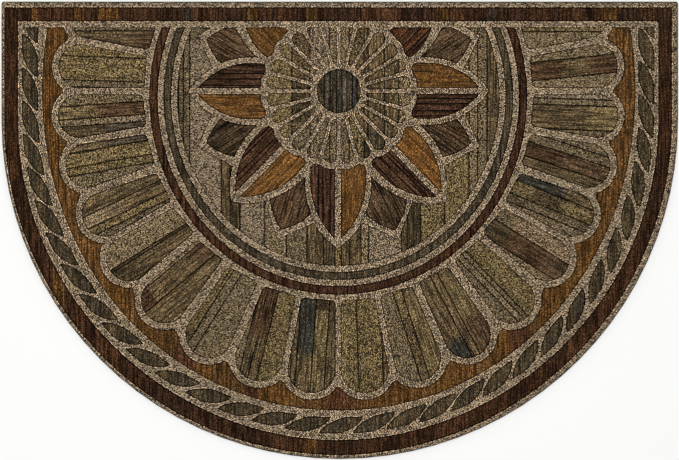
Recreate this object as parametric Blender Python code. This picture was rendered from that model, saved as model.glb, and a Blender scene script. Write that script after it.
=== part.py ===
# Half-round entrance mat: a moulded fibre face fused to a sheet of recycled rubber.
# The face has low pads, parted by sunken channels: a plain border, a rope twist, a fan of
# round-ended petals, two rings, a star with kite points and a daisy round a plain disc.
# Metres, +Z up. The origin is the middle of the underside, and +Y points to the straight edge.

from math import asin, atan2, copysign, cos, degrees, hypot, pi, radians, sin, sqrt

import bmesh
import bpy
import numpy as np

# Outline and thickness
MAT_WIDTH = 0.864
MAT_DEPTH = 0.584
MAT_CORNER = 0.003
RUBBER_THICKNESS = 0.0030
RUBBER_RIM = 0.0010
FUSE_GAP = 0.0003
FACE_THICKNESS = 0.0035
PAD_RISE = 0.0012
PAD_ROOT = 0.0010

# Height up the mat of the border's two straight edges, and of the top of everything inside it
BORDER_TOP = 0.2843
BORDER_INNER_TOP = 0.2670
PICTURE_TOP = 0.2588

# Half-round lines: half width, depth and power of a superellipse about its centre
BORDER_CENTRE = (-0.0020, 0.1381)
BORDER_OUTER = (0.4259, 0.4248, 1.985)
BORDER_INNER = (0.4088, 0.4062, 1.965)
ROPE_CENTRE = (-0.0020, 0.1500)
ROPE_PATH = (0.3933, 0.3992, 1.985)
ARCH_CENTRE = (-0.0012, 0.1779)
ARCH_LINE = (0.3785, 0.4077, 2.04)

# Rope twist: leaf-shaped strands along the path; their pitch swings a little about its mean
LEAF_PITCH = 0.04375
LEAF_SWAY = 0.0046
LEAF_SWAY_RUN = 0.65
LEAF_SWAY_PHASE = 133
LEAF_LENGTH = 0.0560
LEAF_WIDTH = 0.0204
LEAF_FLAT = 0.0216
LEAF_START = 0.0011
LEAF_CURVE = 1.5

# Fan of petals
FAN_CENTRE = (-0.0021, 0.1775)
FAN_COUNT = 32
FAN_CHANNEL = 0.0079
FAN_EDGE = 0.0085
FAN_REACH_SIDE = 0.3670
FAN_REACH_BOTTOM = 0.3956
FAN_CORNER = 0.0035
FAN_VALLEY = 9.5
# Degrees by which a petal's inner and outer end stand off even spacing, away from the mat's lowest
# point, from the two petals beside that point to the ones at the picture's top
FAN_INNER_TURNS = (-0.25, -0.69, -0.62, -0.32, -0.40, -0.67, -0.29, 0, 0, 0)
FAN_OUTER_TURNS = (-0.19, -0.39, -0.21, 0.36, 0.73, 0.37, 0.39, 0.22, -0.13, -0.13)

# Rings: half width of each line; the depth is this times the stretch
RING_CENTRE = (-0.0018, 0.1697)
RING_STRETCH = 1.045
FIELD_RING = 0.2058
GREEN_RING = (0.2135, 0.2230)
RED_RING = (0.2307, 0.2410)
FAN_RING = 0.2478

# Rosette: a disc, a daisy, a star of split petals, and kites between the star's points
ROSETTE_CENTRE = (-0.0013, 0.1776)
DISC_RADIUS = 0.0278
DAISY_COUNT = 24
DAISY_INNER = 0.0367
DAISY_OUTER = 0.0923
DAISY_CHANNEL = 0.0045
STAR_RIB = 0.0079
STAR_INNER = 0.0998
STAR_SHOULDER = (0.1100, 0.0356)
STAR_SCALLOPS = ((0.0985, 0.0352), (0.0945, 0.0335), (0.0930, 0.0290),
                 (0.0938, 0.0240), (0.0975, 0.0190), (0.0992, 0.0125))
STAR_BULGE = 0.0090
STAR_EDGE = 0.0125
STAR_TIP = 0.0015
STAR_REACH = {"side": 0.1917, "diagonal": 0.1965, "bottom": 0.2004}
STAR_PETALS = ((180, "side"), (225, "diagonal"), (270, "bottom"), (315, "diagonal"), (360, "side"))
STAR_TURNS = {225: 0.7, 270: -0.35, 315: -1.0, 360: 0.2}
STAR_CUT_RIB = -0.0085
POINT_BULGE = 0.0028
# How far out the valleys before and after each petal lie
VALLEYS = {135: (0, 0.1690), 180: (0.1633, 0.1637), 225: (0.1658, 0.1685), 270: (0.1712, 0.1700),
           315: (0.1697, 0.1650), 360: (0.1635, 0.1630), 405: (0.1680, 0)}
VALLEY_TURN = 10.4
# A kite's corners as (outward, sideways), sideways counted towards the mat's left-to-right line
KITES = {
    "side": {"inner": (0.1125, 0), "near": (0.1528, 0.0248), "far": (0.1548, -0.0268), "tip": (0.1815, 0.0034),
             "hollow": -0.0028, "bulges": (0.0029, 0.0021), "reach": (0.1930, 0.0035)},
    "bottom": {"inner": (0.1165, -0.0026), "near": (0.1609, 0.0290), "far": (0.1575, -0.0276),
               "tip": (0.1915, 0.0006), "hollow": -0.0034, "bulges": (0.0034, 0.0024), "reach": (0.2040, -0.0003)},
}
KITE_TURNS = {292.5: -0.5}
KITE_PLACES = ((157.5, "side"), (202.5, "side"), (247.5, "bottom"),
               (292.5, "bottom"), (337.5, "side"), (382.5, "side"))

# Steps of the half-round lines, and a height above the picture for what its top line cuts off
HALF_ROUND_STEPS = 44
ROPE_STEPS = 360
OVER_TOP = 0.29
WELD_DISTANCE = 0.00001

FACE_COLOUR = (0.16, 0.12, 0.08, 1)
RUBBER_COLOUR = (0.012, 0.012, 0.012, 1)


def turned(centre, angle, pairs):
    """Mat coordinates of (outward, sideways) pairs about a centre, outward pointing along angle."""
    c, s = cos(radians(angle)), sin(radians(angle))
    return [(centre[0] + u * c - v * s, centre[1] + u * s + v * c) for u, v in pairs]


def bulged(start, end, bulge, steps):
    """Arc from start towards end, its middle standing bulge to the right of the way; end is left out."""
    dx, dy = end[0] - start[0], end[1] - start[1]
    chord = hypot(dx, dy)
    radius = (chord * chord / 4 + bulge * bulge) / (2 * bulge)
    half = asin(chord / 2 / radius)
    right = (dy / chord, -dx / chord)
    middle = ((start[0] + end[0]) / 2 + right[0] * (bulge - radius),
              (start[1] + end[1]) / 2 + right[1] * (bulge - radius))
    turns = [half * (2 * i / steps - 1) for i in range(steps)]
    return [(middle[0] + radius * (right[0] * cos(a) + dx / chord * sin(a)),
             middle[1] + radius * (right[1] * cos(a) + dy / chord * sin(a))) for a in turns]


def half_round(centre, line, start, end, steps):
    """Superellipse about a centre, from one angle to another, anticlockwise from +X."""
    half_width, depth, power = line
    points = []
    for i in range(steps + 1):
        angle = radians(start + (end - start) * i / steps)
        c, s = cos(angle), sin(angle)
        x = half_width * abs(c) ** (2 / power) * (1 if c > 0 else -1)
        y = depth * abs(s) ** (2 / power) * (1 if s > 0 else -1)
        points.append((centre[0] + x, centre[1] + y))
    return points


def below(points, top=PICTURE_TOP):
    """The part of a closed outline under the line y = top."""
    kept = []
    for p, q in zip(points[-1:] + points[:-1], points):
        if (p[1] <= top) != (q[1] <= top):
            share = (top - p[1]) / (q[1] - p[1])
            kept.append((p[0] + share * (q[0] - p[0]), top))
        if q[1] <= top:
            kept.append(q)
    return kept


def mat_outline(inset):
    """The half-round mat's edge: an arc below, straight sides and small corners above."""
    radius = MAT_WIDTH / 2 - inset
    top = MAT_DEPTH / 2 - inset
    corner = MAT_CORNER
    rounding = corner * (1 - sqrt(0.5))
    points = half_round((0, MAT_WIDTH / 2 - MAT_DEPTH / 2), (radius, radius, 2), 180, 360, HALF_ROUND_STEPS)
    for start, end in (((radius, top - corner), (radius - corner, top)),
                       ((corner - radius, top), (-radius, top - corner))):
        points += bulged(start, end, rounding, 3) + [end]
    return points


def border_line(line, top):
    """A closed line of the border: half-round below, straight above."""
    left, right = BORDER_CENTRE[0] - line[0], BORDER_CENTRE[0] + line[0]
    return [(left, top)] + half_round(BORDER_CENTRE, line, 180, 360, HALF_ROUND_STEPS) + [(right, top)]


def leaf_shape(steps=5):
    """One strand as (along, outward): two curves from tip to flat, each the other turned half round."""
    curve = LEAF_LENGTH - LEAF_FLAT
    half = []
    for i in range(steps + 1):
        angle = pi / 2 * i / steps
        along = curve * (1 - max(cos(angle), 0) ** (2 / LEAF_CURVE)) - LEAF_LENGTH / 2
        half.append((along, LEAF_WIDTH / 2 - LEAF_WIDTH * sin(angle) ** (2 / LEAF_CURVE)))
    return half + [(-along, -outward) for along, outward in half]


def rope_leaves():
    """Every strand of the rope, laid along its path, the end ones cut by the picture's top.

    A strand's place is its number times the pitch, plus a sine of that place."""
    left, right = ROPE_CENTRE[0] - ROPE_PATH[0], ROPE_CENTRE[0] + ROPE_PATH[0]
    path = [(left, OVER_TOP)] + half_round(ROPE_CENTRE, ROPE_PATH, 180, 360, ROPE_STEPS) + [(right, OVER_TOP)]
    x, y = np.array(path).T
    length = np.concatenate([[0], np.cumsum(np.hypot(np.diff(x), np.diff(y)))])
    length -= length[-1] / 2
    slope_x, slope_y = np.gradient(x, length), np.gradient(y, length)
    shape = np.array(leaf_shape())
    last = int(length[-1] / LEAF_PITCH)
    leaves = []
    places = LEAF_START + LEAF_PITCH * np.arange(-last, last + 1)
    places += LEAF_SWAY * np.sin(2 * pi * places / LEAF_SWAY_RUN + radians(LEAF_SWAY_PHASE))
    for place in places:
        at = place + shape[:, 0]
        px = np.interp(at, length, x) + shape[:, 1] * np.interp(at, length, slope_y)
        py = np.interp(at, length, y) - shape[:, 1] * np.interp(at, length, slope_x)
        leaf = below(list(zip(px.tolist(), py.tolist())))
        if leaf:
            leaves.append(leaf)
    return leaves


def ring_line(radius):
    """A ring's line from above the picture's top on the left, round below, to the right."""
    line = (radius, radius * RING_STRETCH, 2)
    rise = degrees(asin((OVER_TOP - RING_CENTRE[1]) / line[1]))
    return half_round(RING_CENTRE, line, 180 - rise, 360 + rise, HALF_ROUND_STEPS)


def ring_pad(inner, outer):
    """The band between two ring lines."""
    return below(ring_line(inner) + ring_line(outer)[::-1])


def ring_distance(radius, centre, angle):
    """Distance from a centre to a ring line along one angle."""
    c, s = cos(radians(angle)), sin(radians(angle)) / RING_STRETCH
    x, y = RING_CENTRE[0] - centre[0], (RING_CENTRE[1] - centre[1]) / RING_STRETCH
    a, b, d = c * c + s * s, x * c + y * s, x * x + y * y - radius * radius
    return (b + sqrt(b * b - a * d)) / a


def fan_angles():
    """Middles of the fan's petals: the lower half circle, and two more at each end."""
    return [180 + 360 / FAN_COUNT * (i + 0.5) for i in range(-2, FAN_COUNT // 2 + 2)]


def fan_ends(angle):
    """Where a petal's inner and outer end stand: its angle, each moved by its own turn."""
    place = int(abs(angle - 270) * FAN_COUNT / 360)
    away = 1 if angle > 270 else -1
    return angle + away * FAN_INNER_TURNS[place], angle + away * FAN_OUTER_TURNS[place]


def fan_end(angle):
    """Radius and distance out of the circle that ends a fan petal's pad."""
    down = max(0, -sin(radians(angle)))
    reach = FAN_REACH_SIDE + (FAN_REACH_BOTTOM - FAN_REACH_SIDE) * down ** 1.8 - FAN_EDGE
    half = sin(pi / FAN_COUNT)
    radius = (reach * half - FAN_CHANNEL / 2) / (1 + half)
    return radius, reach - radius


def fan_petal(angle, steps=8):
    """A fan petal's pad: flat inner end, straight sides, half-round outer end that turns with them."""
    inward, outward = fan_ends(angle)
    inner = ring_distance(FAN_RING, FAN_CENTRE, inward)
    side = inner * sin(pi / FAN_COUNT) - FAN_CHANNEL / 2
    radius, middle = fan_end(outward)
    tilt = radians(outward - inward) * inner / (middle - inner)
    end = []
    for i in range(steps + 1):
        turn = tilt + (pi / 2 - pi / FAN_COUNT) * (2 * i / steps - 1)
        end.append((middle + radius * cos(turn), radius * sin(turn)))
    shape = turned(FAN_CENTRE, inward, [(inner, FAN_CORNER - side), (inner + FAN_CORNER, -side)])
    shape += turned(FAN_CENTRE, outward, end)
    shape += turned(FAN_CENTRE, inward, [(inner + FAN_CORNER, side), (inner, side - FAN_CORNER)])
    return below(shape)


def arch_pad(steps=5):
    """The scalloped arch between the rope and the fan: its outer line, then back round the petals."""
    rise = degrees(asin((OVER_TOP - ARCH_CENTRE[1]) / ARCH_LINE[1]))
    outer = half_round(ARCH_CENTRE, ARCH_LINE, 180 - rise, 360 + rise, HALF_ROUND_STEPS)
    scallops = []
    for angle in fan_angles():
        outward = fan_ends(angle)[1]
        radius, middle = fan_end(outward)
        radius += FAN_EDGE
        across = middle * sin(pi / FAN_COUNT)
        meeting = middle * cos(pi / FAN_COUNT) + sqrt(radius ** 2 - across ** 2)
        half = atan2(meeting * sin(pi / FAN_COUNT), meeting * cos(pi / FAN_COUNT) - middle)
        half -= radians(FAN_VALLEY)
        turns = [half * (2 * i / steps - 1) for i in range(steps + 1)]
        scallops += turned(FAN_CENTRE, outward, [(middle + radius * cos(t), radius * sin(t)) for t in turns])
    return below(outer + scallops[::-1])


def placed(angle, turns, pairs):
    """Pairs about the rosette's centre, turned to the angle and by the piece's own turn."""
    return turned(ROSETTE_CENTRE, angle + turns.get(angle, 0), pairs)


def star_half(angle, reach, side, rib):
    """Half a star petal: out along the rib, back round the shoulder, then along the daisy's scallops."""
    tip = reach - STAR_EDGE
    shape = [(STAR_INNER, rib), (tip, rib)] + bulged((tip, rib + STAR_TIP), STAR_SHOULDER, STAR_BULGE, 6)
    shape += [STAR_SHOULDER, *STAR_SCALLOPS]
    return below(placed(angle, STAR_TURNS, [(u, side * v) for u, v in shape]))


def star_pads():
    """Both halves of the five whole star petals, and the lower halves of the two that the top cuts."""
    pads = [star_half(angle, STAR_REACH[kind], side, STAR_RIB / 2)
            for angle, kind in STAR_PETALS for side in (-1, 1)]
    pads.append(star_half(135, STAR_REACH["diagonal"], 1, STAR_CUT_RIB))
    pads.append(star_half(45, STAR_REACH["diagonal"], -1, STAR_CUT_RIB))
    return pads


def kite_side(angle):
    """1 where sideways already counts towards the mat's left-to-right line, -1 where it has to turn."""
    return -copysign(1, sin(radians(2 * angle)))


def kite_pad(angle, kind):
    """A kite between two star petals: hollow sides inside, bulged sides outside."""
    kite = KITES[kind]
    corners = [kite[name] for name in ("inner", "far", "tip", "near", "inner")]
    bulges = (kite["hollow"], *kite["bulges"], kite["hollow"])
    shape = []
    for start, end, bulge in zip(corners, corners[1:], bulges):
        shape += bulged(start, end, bulge, 4)
    return below(placed(angle, KITE_TURNS, [(u, kite_side(angle) * v) for u, v in shape]))


def daisy_petal(angle, steps=6):
    """A daisy petal's pad: narrow inner end, straight sides, half-round outer end."""
    half = sin(pi / DAISY_COUNT)
    radius = (DAISY_OUTER * half - DAISY_CHANNEL / 2) / (1 + half)
    middle = DAISY_OUTER - radius
    side = DAISY_INNER * half - DAISY_CHANNEL / 2
    shape = [(DAISY_INNER - side / 2, 0), (DAISY_INNER, -side)]
    for i in range(steps + 1):
        turn = (pi / 2 - pi / DAISY_COUNT) * (2 * i / steps - 1)
        shape.append((middle + radius * cos(turn), radius * sin(turn)))
    shape.append((DAISY_INNER, side))
    return below(turned(ROSETTE_CENTRE, angle, shape))


def star_line():
    """The line round the star's points and kites, from above the top on the left round to the right."""
    valleys = {}
    for axis, reaches in VALLEYS.items():
        own = axis + STAR_TURNS.get(axis, 0)
        valleys[axis] = [turned(ROSETTE_CENTRE, own + side * VALLEY_TURN, [(reach, 0)])[0]
                         for side, reach in zip((-1, 1), reaches)]
    kite_tips = []
    for angle, kind in KITE_PLACES:
        out, sideways = KITES[kind]["reach"]
        kite_tips += placed(angle, KITE_TURNS, [(out, kite_side(angle) * sideways)])
    line = [valleys[135][1], kite_tips[0]]
    for (axis, kind), next_kite in zip(STAR_PETALS, kite_tips[1:]):
        tip = placed(axis, STAR_TURNS, [(STAR_REACH[kind], 0)])[0]
        before, after = valleys[axis]
        line += bulged(before, tip, POINT_BULGE, 3) + bulged(tip, after, POINT_BULGE, 3) + [after, next_kite]
    return line + [valleys[405][0]]


def disc(steps=24):
    """The plain disc in the middle of the daisy."""
    turns = [2 * pi * i / steps for i in range(steps)]
    return turned(ROSETTE_CENTRE, 0, [(DISC_RADIUS * cos(t), DISC_RADIUS * sin(t)) for t in turns])


def all_pads():
    """Outlines of every pad on the face; the border's two lines make one band."""
    pads = [border_line(BORDER_OUTER, BORDER_TOP), border_line(BORDER_INNER, BORDER_INNER_TOP)]
    pads += rope_leaves()
    pads.append(arch_pad())
    pads += [fan_petal(angle) for angle in fan_angles()]
    pads += [ring_pad(*RED_RING), ring_pad(*GREEN_RING)]
    pads.append(below(ring_line(FIELD_RING) + star_line()[::-1]))
    pads += star_pads()
    pads += [kite_pad(angle, kind) for angle, kind in KITE_PLACES]
    pads += [daisy_petal(360 / DAISY_COUNT * (i + 0.5)) for i in range(DAISY_COUNT)]
    pads.append(disc())
    return pads


def sheet_from_outlines(name, outlines, low, high, collection):
    """A flat sheet between two heights: a filled 2D curve, made a mesh with its caps welded on."""
    curve = bpy.data.curves.new(name, "CURVE")
    curve.dimensions = "2D"
    curve.fill_mode = "BOTH"
    curve.extrude = (high - low) / 2
    for outline in outlines:
        spline = curve.splines.new("POLY")
        spline.points.add(len(outline) - 1)
        for point, (x, y) in zip(spline.points, outline):
            point.co = (x, y, 0, 1)
        spline.use_cyclic_u = True
    guide = bpy.data.objects.new(name + "_curve", curve)
    guide.location.z = (low + high) / 2
    collection.objects.link(guide)
    bpy.context.view_layer.update()
    depsgraph = bpy.context.evaluated_depsgraph_get()
    mesh = bpy.data.meshes.new_from_object(guide.evaluated_get(depsgraph))
    mesh.name = name
    shape = bmesh.new()
    shape.from_mesh(mesh)
    bmesh.ops.remove_doubles(shape, verts=shape.verts, dist=WELD_DISTANCE)
    bmesh.ops.recalc_face_normals(shape, faces=shape.faces)
    shape.to_mesh(mesh)
    shape.free()
    sheet = bpy.data.objects.new(name, mesh)
    sheet.matrix_world = guide.matrix_world
    collection.objects.link(sheet)
    bpy.data.objects.remove(guide)
    return sheet


def finish(name, colour, roughness):
    """A plain Principled material."""
    material = bpy.data.materials.new(name)
    material.use_nodes = True
    shader = material.node_tree.nodes["Principled BSDF"]
    shader.inputs["Base Color"].default_value = colour
    shader.inputs["Roughness"].default_value = roughness
    shader.inputs["Metallic"].default_value = 0
    return material


def build():
    """The rubber sheet, and the fibre face with its pads standing on it."""
    for old in list(bpy.data.objects):
        bpy.data.objects.remove(old)
    mat = bpy.data.collections.new("half_round_mat")
    cutters = bpy.data.collections.new("pads_to_join")
    bpy.context.scene.collection.children.link(mat)
    bpy.context.scene.collection.children.link(cutters)

    backing = sheet_from_outlines("rubber_backing", [mat_outline(0)], 0, RUBBER_THICKNESS, mat)
    backing.data.materials.append(finish("recycled_rubber", RUBBER_COLOUR, 0.85))

    face_low = RUBBER_THICKNESS + FUSE_GAP
    face_high = face_low + FACE_THICKNESS
    face = sheet_from_outlines("fibre_face", [mat_outline(RUBBER_RIM)], face_low, face_high, mat)
    face.data.materials.append(finish("printed_fibre", FACE_COLOUR, 0.95))

    pads = sheet_from_outlines("pads", all_pads(), face_high - PAD_ROOT, face_high + PAD_RISE, cutters)
    pads.hide_render = True
    pads.display_type = "WIRE"
    join = face.modifiers.new("pads", "BOOLEAN")
    join.operation = "UNION"
    join.solver = "EXACT"
    join.object = pads


build()
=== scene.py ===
# Looks of a half-round doormat: a moulded fibre face, printed like inlaid wood, on sheet rubber.
# Metres. +Y points to the straight edge and +Z out of the face.
import math

import bmesh
import bpy
import numpy as np
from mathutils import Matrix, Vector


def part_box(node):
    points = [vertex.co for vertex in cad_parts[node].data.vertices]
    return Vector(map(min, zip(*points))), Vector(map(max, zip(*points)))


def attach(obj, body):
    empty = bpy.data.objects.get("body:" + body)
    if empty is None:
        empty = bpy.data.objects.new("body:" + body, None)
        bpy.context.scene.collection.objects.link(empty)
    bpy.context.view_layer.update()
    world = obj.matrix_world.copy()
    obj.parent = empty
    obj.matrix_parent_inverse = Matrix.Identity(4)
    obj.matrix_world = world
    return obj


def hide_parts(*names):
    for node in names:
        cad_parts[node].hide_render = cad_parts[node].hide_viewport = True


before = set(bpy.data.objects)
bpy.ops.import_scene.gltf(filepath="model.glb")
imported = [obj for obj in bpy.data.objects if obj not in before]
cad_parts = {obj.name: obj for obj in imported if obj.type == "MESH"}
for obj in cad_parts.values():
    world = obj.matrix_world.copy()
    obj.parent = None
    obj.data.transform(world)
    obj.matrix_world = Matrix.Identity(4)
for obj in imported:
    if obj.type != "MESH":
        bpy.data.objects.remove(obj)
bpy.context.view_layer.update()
faceLow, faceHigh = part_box("fibre_face")
rubberLow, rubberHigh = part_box("rubber_backing")

mat = {
    "halfWidth": rubberHigh.x,
    "halfDepth": rubberHigh.y,
    "corner": 0.003,
    "rim": rubberHigh.x - faceHigh.x,
    "padRise": 0.0012,
    "pictureTop": 0.2588,  # everything inside the border ends at this line
    "overTop": 0.29,  # a height above it, for lines that it cuts off
}
groundHeight = faceHigh.z - mat["padRise"]
groundFall = 0.0004  # the ground sinks by this much towards the mat's edge


# Outlines

def halfRound(centre, line, start, end, steps):
    # superellipse: x = width |cos t|^(2/power), y = depth |sin t|^(2/power), t in even steps
    width, depth, power = line
    t = np.radians(np.linspace(start, end, steps + 1))
    x = centre[0] + width * np.sign(np.cos(t)) * np.abs(np.cos(t)) ** (2 / power)
    y = centre[1] + depth * np.sign(np.sin(t)) * np.abs(np.sin(t)) ** (2 / power)
    return np.column_stack([x, y])


def turned(centre, angle, pairs):
    # (outward, sideways) pairs turned by the angle and moved to the centre
    u, v = np.asarray(pairs, float).T
    c, s = math.cos(math.radians(angle)), math.sin(math.radians(angle))
    return np.column_stack([centre[0] + u * c - v * s, centre[1] + u * s + v * c])


def circle(middle, radius, t):
    # points of a circle whose middle lies outward: middle + radius cos t, radius sin t
    return np.column_stack([middle + radius * np.cos(t), radius * np.sin(t)])


def arc(start, end, bulge, steps):
    # circle arc through both ends whose middle stands out by the bulge, on the right of the way
    start, end = np.asarray(start, float), np.asarray(end, float)
    chord = np.hypot(*(end - start))
    way = (end - start) / chord
    right = np.array([way[1], -way[0]])
    radius = (chord * chord / 4 + bulge * bulge) / (2 * bulge)
    half = math.asin(chord / 2 / radius)
    t = np.linspace(-half, half, steps + 1)[:, None]
    return (start + end) / 2 + right * (bulge - radius) + radius * (right * np.cos(t) + way * np.sin(t))


def below(points):
    # cut off at the picture's top: each side gives its crossing, if it has one, and its end, if kept
    top = mat["pictureTop"]
    start = np.roll(points, 1, axis=0)
    rise = points[:, 1] - start[:, 1]
    share = (top - start[:, 1]) / np.where(rise == 0, 1, rise)
    crossing = start + share[:, None] * (points - start)
    crosses = (start[:, 1] <= top) != (points[:, 1] <= top)
    keep = np.column_stack([crosses, points[:, 1] <= top]).ravel()
    return np.stack([crossing, points], axis=1).reshape(-1, 2)[keep]


def leftTurning(points):
    # the outline with its area on the left of the way round
    x, y = points.T
    area = (x * np.roll(y, -1) - y * np.roll(x, -1)).sum()
    return points if area > 0 else points[::-1]


def inset(points, distance):
    # every side moved to its left by the distance; a corner is where its two moved sides meet,
    # and a side that would turn round is dropped, so that its neighbours meet instead
    side = np.roll(points, -1, axis=0) - points
    unit = side / np.hypot(*side.T)[:, None]
    normal = np.column_stack([-unit[:, 1], unit[:, 0]])
    offset = (points * normal).sum(axis=1) + distance
    kept = np.arange(len(points))
    for attempt in range(20):
        place = np.searchsorted(kept, np.arange(len(points)))
        after, before = kept[place % len(kept)], kept[place - 1]
        cross = normal[before, 0] * normal[after, 1] - normal[before, 1] * normal[after, 0]
        straight = np.abs(cross) < 0.02
        safe = np.where(straight, 1, cross)
        x = (offset[before] * normal[after, 1] - offset[after] * normal[before, 1]) / safe
        y = (offset[after] * normal[before, 0] - offset[before] * normal[after, 0]) / safe
        corner = np.column_stack([x, y])
        corner[straight] = (points + distance * normal[after])[straight]
        run = ((np.roll(corner, -1, axis=0) - corner) * unit).sum(axis=1)
        turnedRound = kept[run[kept] < -1e-9]
        if len(turnedRound) == 0:
            break
        kept = np.setdiff1d(kept, turnedRound[np.argmin(run[turnedRound])])
    return corner


# Pads: each has an outline and the planks printed on it. Their sizes, and the lists of small turns
# and shifts, come from curves that scripts fitted to edges measured in the photograph

border = {
    "centre": (-0.0020, 0.1381),
    "outer": (0.4259, 0.4248, 1.985),
    "inner": (0.4088, 0.4062, 1.965),
    "outerTop": 0.2843,
    "innerTop": 0.2670,
    "steps": 120,
}


def borderLines():
    # one closed line for each side of the band: half-round below, straight above
    lines = []
    for side in ("outer", "inner"):
        line, top = border[side], border[side + "Top"]
        left, right = border["centre"][0] - line[0], border["centre"][0] + line[0]
        lower = halfRound(border["centre"], line, 180, 360, border["steps"])
        lines.append(np.concatenate([[(left, top)], lower, [(right, top)]]))
    return lines


rope = {
    "centre": (-0.0020, 0.1500),
    "path": (0.3933, 0.3992, 1.985),
    "pitch": 0.04375,
    "sway": (0.0046, 0.65, 133),  # the pitch swings: how far, over what run, and its phase in degrees
    "length": 0.0560,
    "width": 0.0204,
    "flat": 0.0216,  # length of the straight stretch of each side
    "start": 0.0011,  # place of the middle strand, from the middle of the path
    "curve": 1.5,  # power of the curves: 2 is round, and 1 is straight
    "steps": 10,
    "pathSteps": 360,
}


def ropeStrands():
    # a leaf of two curves, each the other turned half round, laid along the path; its place is its
    # number times the pitch, plus a sine of that place
    t = np.linspace(0, math.pi / 2, rope["steps"] + 1)
    along = (rope["length"] - rope["flat"]) * (1 - np.maximum(np.cos(t), 0) ** (2 / rope["curve"]))
    along -= rope["length"] / 2
    out = rope["width"] / 2 - rope["width"] * np.sin(t) ** (2 / rope["curve"])
    leaf = np.concatenate([np.column_stack([along, out]), -np.column_stack([along, out])])
    left, right = rope["centre"][0] - rope["path"][0], rope["centre"][0] + rope["path"][0]
    lower = halfRound(rope["centre"], rope["path"], 180, 360, rope["pathSteps"])
    path = np.concatenate([[(left, mat["overTop"])], lower, [(right, mat["overTop"])]])
    x, y = path.T
    length = np.concatenate([[0], np.cumsum(np.hypot(np.diff(x), np.diff(y)))])
    length -= length[-1] / 2
    slopeX, slopeY = np.gradient(x, length), np.gradient(y, length)
    last = int(length[-1] / rope["pitch"])
    strands = []
    far, run, phase = rope["sway"]
    places = rope["start"] + rope["pitch"] * np.arange(-last, last + 1)
    places += far * np.sin(2 * math.pi * places / run + math.radians(phase))
    for place in places:
        at = place + leaf[:, 0]
        strandX = np.interp(at, length, x) + leaf[:, 1] * np.interp(at, length, slopeY)
        strandY = np.interp(at, length, y) - leaf[:, 1] * np.interp(at, length, slopeX)
        strand = below(np.column_stack([strandX, strandY]))
        if len(strand) > 2:
            strands.append(strand)
    return strands


fan = {
    "centre": (-0.0021, 0.1775),
    "count": 32,
    "channel": 0.0079,  # between two petals
    "edge": 0.0085,  # width of the channel round a petal's end
    "reachSide": 0.3670,  # how far out the arch's scallops lie, at the side and below
    "reachBottom": 0.3956,
    "reachPower": 1.8,  # how late the reach grows on the way down
    "corner": 0.0035,
    "steps": 16,
    "plankMiddle": 0.31,  # the point of a petal's middle line from which its planks are measured
    # by how many degrees a petal's inner and outer end stand off even spacing, away from the mat's
    # lowest point, from the two petals beside that point to the ones at the picture's top
    "innerTurns": (-0.25, -0.69, -0.62, -0.32, -0.40, -0.67, -0.29, 0, 0, 0),
    "outerTurns": (-0.19, -0.39, -0.21, 0.36, 0.73, 0.37, 0.39, 0.22, -0.13, -0.13),
}
fan["angles"] = 180 + 360 / fan["count"] * (np.arange(-2, fan["count"] // 2 + 2) + 0.5)


def fanEnd(angle):
    # radius and distance out of the circle that ends a petal
    down = max(0, -math.sin(math.radians(angle)))
    further = (fan["reachBottom"] - fan["reachSide"]) * down ** fan["reachPower"]
    reach = fan["reachSide"] + further - fan["edge"]
    half = math.sin(math.pi / fan["count"])
    radius = (reach * half - fan["channel"] / 2) / (1 + half)
    return radius, reach - radius


def fanEnds(angle):
    # where the petal's inner and outer end stand: its angle, each moved by its own turn
    place = int(abs(angle - 270) * fan["count"] / 360)
    away = 1 if angle > 270 else -1
    return angle + away * fan["innerTurns"][place], angle + away * fan["outerTurns"][place]


def fanPetal(angle):
    # flat inner end with cut corners, straight sides, and a half circle outside, which turns with
    # the way from the one end to the other
    inward, outward = fanEnds(angle)
    inner = ringDistance(rings["fanLine"], fan["centre"], inward)
    side = inner * math.sin(math.pi / fan["count"]) - fan["channel"] / 2
    radius, middle = fanEnd(outward)
    most = math.pi / 2 - math.pi / fan["count"]
    t = np.linspace(-most, most, fan["steps"] + 1)
    t += math.radians(outward - inward) * inner / (middle - inner)
    cut = fan["corner"]
    return below(np.concatenate([
        turned(fan["centre"], inward, [(inner, cut - side), (inner + cut, -side)]),
        turned(fan["centre"], outward, circle(middle, radius, t)),
        turned(fan["centre"], inward, [(inner + cut, side), (inner, side - cut)]),
    ]))


arch = {
    "centre": (-0.0012, 0.1779),
    "line": (0.3785, 0.4077, 2.04),
    "valley": 9.5,  # a scallop ends this many degrees before it would meet the next
    "scallopSteps": 12,
    "steps": 120,
}


def scallopedArch():
    # a half-round line outside, and inside an arc round each petal's end
    rise = math.degrees(math.asin((mat["overTop"] - arch["centre"][1]) / arch["line"][1]))
    outer = halfRound(arch["centre"], arch["line"], 180 - rise, 360 + rise, arch["steps"])
    half = math.pi / fan["count"]
    scallops = []
    for angle in fan["angles"]:
        outward = fanEnds(angle)[1]
        radius, middle = fanEnd(outward)
        radius += fan["edge"]
        meeting = middle * math.cos(half) + math.sqrt(radius ** 2 - (middle * math.sin(half)) ** 2)
        most = math.atan2(meeting * math.sin(half), meeting * math.cos(half) - middle)
        most -= math.radians(arch["valley"])
        t = np.linspace(-most, most, arch["scallopSteps"] + 1)
        scallops.append(turned(fan["centre"], outward, circle(middle, radius, t)))
    return below(np.concatenate([outer, np.concatenate(scallops)[::-1]]))


rings = {
    "centre": (-0.0018, 0.1697),
    "stretch": 1.045,  # depth over width
    "field": 0.2058,
    "green": (0.2135, 0.2230),
    "red": (0.2307, 0.2410),
    "fanLine": 0.2478,  # where the fan's petals begin
    "steps": 110,
}


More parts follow.
